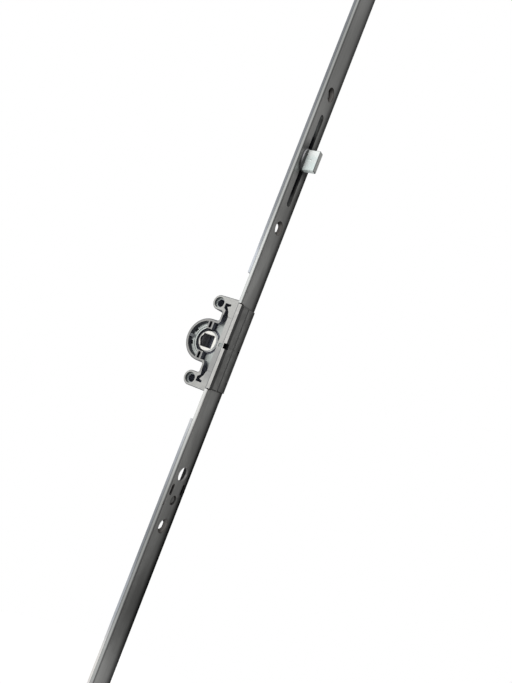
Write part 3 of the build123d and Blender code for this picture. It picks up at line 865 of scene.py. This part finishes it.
def cast_zinc(name, rim, floor, shade_grey):
    """Die-cast zinc: satin and mottled, warm rims, greenish floors and painted shade in the pockets."""
    material, tree, shader = start_finish(name, zinc_metal, zinc_roughness)
    at = Where(tree)
    mottle = noise(tree, **zinc_mottle)
    on_rim = ramp(tree, at.from_middle, *rim_border)
    face = blend(tree, on_rim, casting_floor(tree, at, floor), casting_rim(tree, at, rim, shade_grey))
    face = blend(tree, ramp(tree, mottle, *mottle_fade), black, face)
    face = casting_marks(tree, at, face, shade_grey)
    face = cover_side(tree, at, face, shade_grey)
    face = cover_front(tree, at, face)
    face = round_spindle(tree, at, face, shade_grey)
    unshaded, shadow = casting_shadows(tree, at, shade_grey)
    feed(tree, shader.inputs["Base Color"], blend(tree, unshaded, shadow, face))
    feed(tree, shader.inputs["Roughness"], ramp(tree, mottle, *mottle_gloss))
    bump(tree, shader, noise(tree, **orange_peel), peel_bump, peel_height)
    return material


# The last colour is the grey of all the painted shade on the casting.
casing_finish = cast_zinc("casing_zinc", rim=(0.41, 0.41, 0.395), floor=(0.48, 0.51, 0.49),
                          shade_grey=(0.070, 0.074, 0.090))
print("made", casing_finish.name, "with", len(casing_finish.node_tree.nodes), "nodes")

# %% [markdown]
# ## The follower
# The follower is the cast wheel that takes the handle's spindle. Its hub is turned
# bright, with painted shade on its left rim and a painted shadow in the gap round it.
# Its square hole is painted dark as shade, with painted light towards the far side.
# The shade is a colour that depends on the radius and the depth.

# %% The hub's face
hub_ring = (5.30 * MM, 5.45 * MM)
hub_mottle = dict(scale=400, detail=4)
hub_mottle_range = (0.3, 0.7)
turned_colours = ((0.70, 0.69, 0.65), (0.80, 0.79, 0.74))
collar_colours = ((0.86, 0.88, 0.85), (0.95, 0.97, 0.94))
shaded_side = (-1.5 * MM, -3.5 * MM)
shaded_rim = (4.7 * MM, 5.1 * MM, 0.0, 0.5)
# Painted shadow in the gap round the hub.
gap_shadow_grey = (0.03, 0.03, 0.035)
gap_shift_side = (1.0 * MM, -1.0 * MM)
gap_shift = 0.80 * MM
hub_gap = (6.15 * MM, 6.25 * MM)


def hub_face(tree, at, radius):
    """The hub's bright face, with painted shade on its left rim and a painted shadow line in the gap round
    it.
    """
    mottle = ramp(tree, noise(tree, **hub_mottle), *hub_mottle_range)
    turned = blend(tree, mottle, *turned_colours)
    face = blend(tree, ramp(tree, radius, *hub_ring), turned, blend(tree, mottle, *collar_colours))
    left_rim = times(tree, ramp(tree, at.x, *shaded_side), ramp(tree, radius, *shaded_rim))
    face = blend(tree, left_rim, face, gap_shadow_grey)
    shifted = maths(tree, "MULTIPLY_ADD", ramp(tree, at.x, *gap_shift_side), gap_shift, radius)
    return blend(tree, ramp(tree, shifted, *hub_gap), face, gap_shadow_grey)


print("the hub's bright ring starts at", round(hub_ring[1] / MM, 2), "mm")

# %% The follower's finish
follower_metal = 0.5
follower_roughness = 0.35
square_roughness = 0.25
hub_depth = (3.5 * MM, 3.4 * MM)
key_notch_depth = (2.2 * MM, 2.4 * MM)
# Painted shade in the square hole, darkest at its mouth, with painted light on its far side.
square_middle_shade = (0.17, 0.17, 0.175)
square_mouth_shade = (0.06, 0.06, 0.065)
far_side = (1.0 * MM, 2.0 * MM)
square_far_light = (0.32, 0.32, 0.33)
hub_grain = dict(scale=2500, detail=2)
hub_bump = 0.15
hub_grain_height = 0.02 * MM


def follower_zinc():
    """Cast follower: turned bright on its hub, with painted shade in the square."""
    material, tree, shader = start_finish("follower_zinc", follower_metal, follower_roughness)
    at = Where(tree)
    radius = radius_of(tree, at.x, at.z)
    sunk = ramp(tree, at.from_middle, *hub_depth)
    inside = times(tree, sunk, ramp(tree, radius, *reversed(hub_ring)))
    square_shade = blend(tree, ramp(tree, at.from_middle, *key_notch_depth), square_middle_shade, square_mouth_shade)
    square_shade = blend(tree, ramp(tree, at.y, *far_side), square_shade, square_far_light)
    colour = blend(tree, inside, hub_face(tree, at, radius), square_shade)
    feed(tree, shader.inputs["Base Color"], colour)
    roughness = maths(tree, "MULTIPLY_ADD", inside, square_roughness, follower_roughness)
    feed(tree, shader.inputs["Roughness"], roughness)
    bump(tree, shader, noise(tree, **hub_grain), hub_bump, hub_grain_height)
    return material


follower_finish = follower_zinc()
print("made", follower_finish.name)

# %% [markdown]
# ## Bright plating
# The cam is the part that locks into its keep, and its zinc plating is the
# brightest thing in the photograph, with a faint play of green and pink. A
# thin-film shader could make that play, but it soon turns into rainbows. A noise
# between two near tints gives the quiet look of real plating. On top of it the upper
# half gets a painted highlight, and the end face and the rounded edges get painted
# shade.

# %% The cam's finish
plating_metal = 0.35
plating_roughness = 0.38
plating_film = dict(scale=260, detail=2)
film_range = (0.40, 0.62)
cool_share = 0.97
rosy_tint = (1.04, 0.98, 0.99)
upper_half = (cam_level, cam_level + 5.0 * MM, 0.0, 0.6)
# Painted highlight on the cam's upper half.
upper_highlight_white = (0.95, 0.97, 0.94)
end_turn = (0.5, 0.9)
edge_turn = (0.3, 0.5)
end_edge_turn = (0.97, 0.85)
cam_top = (cam_level + 4.0 * MM, cam_level + 5.0 * MM)
# Painted shade on the cam's rounded edges.
outline_shade = 0.85
outline_shade_colour = (0.07, 0.08, 0.085)
plating_grain = dict(scale=4000, detail=2)
plating_bump = 0.15
plating_height = 0.01 * MM


def cam_outline(tree, at):
    """1 on the cam's rounded edges, where shade is painted: round its end face and along its top."""
    end_edge = times(tree, ramp(tree, at.facing_x, *edge_turn), ramp(tree, at.facing_x, *end_edge_turn))
    top_edge = times(tree, ramp(tree, at.facing_z, *edge_turn), ramp(tree, at.z, *cam_top))
    return times(tree, larger(tree, end_edge, top_edge), outline_shade)


def bright_plating(name, face, shaded_end_face):
    """Fresh zinc plating: near white, with a faint play of green and pink, a painted highlight on its upper
    half and painted shade on its end face and rounded edges.
    """
    material, tree, shader = start_finish(name, plating_metal, plating_roughness)
    at = Where(tree)
    rosy = tuple(tint * c for tint, c in zip(rosy_tint, face))
    film = ramp(tree, noise(tree, **plating_film), *film_range)
    colour = blend(tree, film, scaled(face, cool_share), rosy)
    colour = blend(tree, ramp(tree, at.z, *upper_half), colour, upper_highlight_white)
    colour = blend(tree, ramp(tree, at.facing_x, *end_turn), colour, shaded_end_face)
    colour = blend(tree, cam_outline(tree, at), colour, outline_shade_colour)
    feed(tree, shader.inputs["Base Color"], colour)
    bump(tree, shader, noise(tree, **plating_grain), plating_bump, plating_height)
    return material


cam_finish = bright_plating("cam_zinc", face=(0.68, 0.76, 0.74), shaded_end_face=(0.50, 0.51, 0.49))
print("made", cam_finish.name)

# %% [markdown]
# ## Black pieces
# The washer under the cam and the carrier in the slot are black. The washer's rim
# gets a painted highlight, brightest towards its upper end. Pure black would look
# like a hole in the picture, so the black is a dark grey with worn patches, and a
# step on the facing finds the rim.

# %% The washer's and the carrier's finish
black_metal = 0.2
black_roughness = 0.45
rubbed_patches = dict(scale=500, detail=4)
rubbed_range = (0.5, 0.8)
rubbed_share = 2.5
# Painted highlight on the washer's rim, brightest towards its upper end.
rim_highlight = (cam_level - 4.0 * MM, cam_level + 2.0 * MM, 0.10, 1.0)
rim_turn = (0.6, 0.3)


def black_finish(name, face, rim):
    """Black piece with a painted highlight on its rim, brightest towards its upper end."""
    material, tree, shader = start_finish(name, black_metal, black_roughness)
    at = Where(tree)
    patches = ramp(tree, noise(tree, **rubbed_patches), *rubbed_range)
    colour = blend(tree, patches, face, scaled(face, rubbed_share))
    on_rim = times(tree, ramp(tree, at.facing_x, *rim_turn), ramp(tree, at.z, *rim_highlight))
    feed(tree, shader.inputs["Base Color"], blend(tree, on_rim, colour, rim))
    return material


washer_finish = black_finish("washer_black", face=(0.010, 0.011, 0.012), rim=(0.55, 0.55, 0.56))
carrier_finish = black_finish("carrier_black", face=(0.012, 0.012, 0.015), rim=(0.015, 0.015, 0.018))
print("made", washer_finish.name, "and", carrier_finish.name)

# %% [markdown]
# ## Rivets
# The rivets and the rod's guide are plain steel in mid grey. They could have a
# finish of their own, but they share the strip's streaks and its painted shade in
# recesses, so the strip's recipe serves again with one colour for faces and edges.

# %% The rivets' finish
rivet_grey = (0.30, 0.30, 0.29)
rivet_finish = rolled_strip("rivet_steel", face=rivet_grey, edge=rivet_grey,
                            bore=(0.22, 0.22, 0.21), roughness=0.38)
print("made", rivet_finish.name)

# %% [markdown]
# ## Finishes on the pieces
# Each piece of the model brings one plain material. Its slots are emptied and get
# the finish instead. The pieces themselves aren't moved or changed, so that they
# still match the solids.

# %% Put the finishes on the nodes
finishes = {
    "faceplate": faceplate_finish,
    "drive_rod": rod_finish,
    "rack_bar": rod_finish,
    "rack_rivets": rivet_finish,
    "spindle_follower": follower_finish,
    "housing_near": casing_finish,
    "housing_far": casing_finish,
    "housing_rivets": rivet_finish,
    "cam_head": cam_finish,
    "cam_washer": washer_finish,
    "cam_carrier": carrier_finish,
    "carrier_rivets": rivet_finish,
    "rod_guide": rivet_finish,
}
for name, finish in finishes.items():
    nodes[name].data.materials.clear()
    nodes[name].data.materials.append(finish)
print("finished", len(finishes), "of", len(nodes), "nodes")
